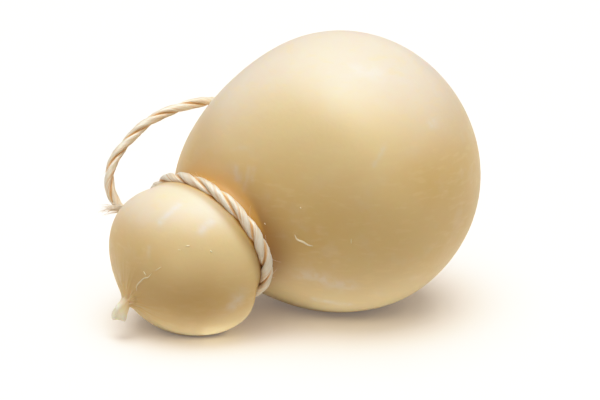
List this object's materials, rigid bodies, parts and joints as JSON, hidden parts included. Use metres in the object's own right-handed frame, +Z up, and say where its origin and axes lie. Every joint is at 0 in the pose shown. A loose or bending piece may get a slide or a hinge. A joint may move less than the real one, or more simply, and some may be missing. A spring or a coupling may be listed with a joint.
{
  "type": "caciocavallo cheese",
  "caption": "Small round stretched-curd cheese with a tied-off head and pinched tip, twine wound round its neck and a twine hanging loop, lying on its side.",
  "frame": {"origin": "on the surface it lies on, under the middle of the box of the cheese and its neck twine", "axes": "+X along the ground from the head towards the body, +Y towards the side where the hanging loop leans, +Z up"},
  "size_m": [0.1591, 0.1213, 0.1171],
  "materials": {
    "cheese_skin": "satin waxy cheese skin, cream to straw yellow",
    "twine": "pale natural fibre twine, twisted and slightly silky"
  },
  "bodies": {
    "root": {"cheese": "cheese_skin", "neck_twine": "twine", "loop_twine": "twine", "neck_knot": "twine"}
  },
  "joints": []
}
